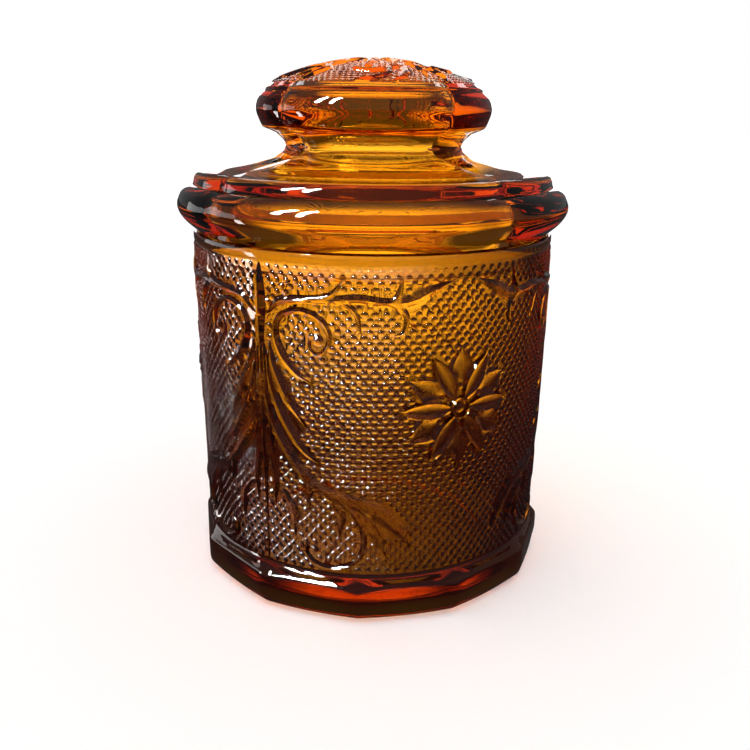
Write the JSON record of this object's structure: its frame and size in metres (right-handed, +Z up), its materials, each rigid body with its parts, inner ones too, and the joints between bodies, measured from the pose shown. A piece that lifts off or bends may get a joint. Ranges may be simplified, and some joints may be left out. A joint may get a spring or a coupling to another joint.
{
  "type": "apothecary jar",
  "caption": "Lidded glass storage canister: amber pressed-glass jar on a many-sided foot, lobed lift-off lid with a flared hollow knob and a soft sealing ring.",
  "frame": {"origin": "middle of the underside of the foot, on the surface that the jar stands on", "axes": "+Z up along the axis of the jar, -Y towards the front with the raised flower to its right"},
  "size_m": [0.1088, 0.1088, 0.143],
  "materials": {
    "jar_glass": "amber pressed glass, fire-polished, covered with fine round beads and raised leaf scrolls",
    "lid_glass": "smooth amber pressed glass with a faint mould seam",
    "seal_plastic": "soft translucent plastic"
  },
  "bodies": {
    "jar": {"jar_body": "jar_glass"},
    "seal": {"lid_seal": "seal_plastic"},
    "lid": {"lid": "lid_glass"}
  },
  "joints": [
    {"name": "lid_lift", "type": "slide", "parent": "jar", "child": "seal", "axis": [0, 0, 1], "range_m": [0, 0.1]},
    {"name": "lid_turn", "type": "hinge", "parent": "seal", "child": "lid", "pos_m": [0, 0, 0.098], "axis": [0, 0, 1], "continuous": true}
  ]
}
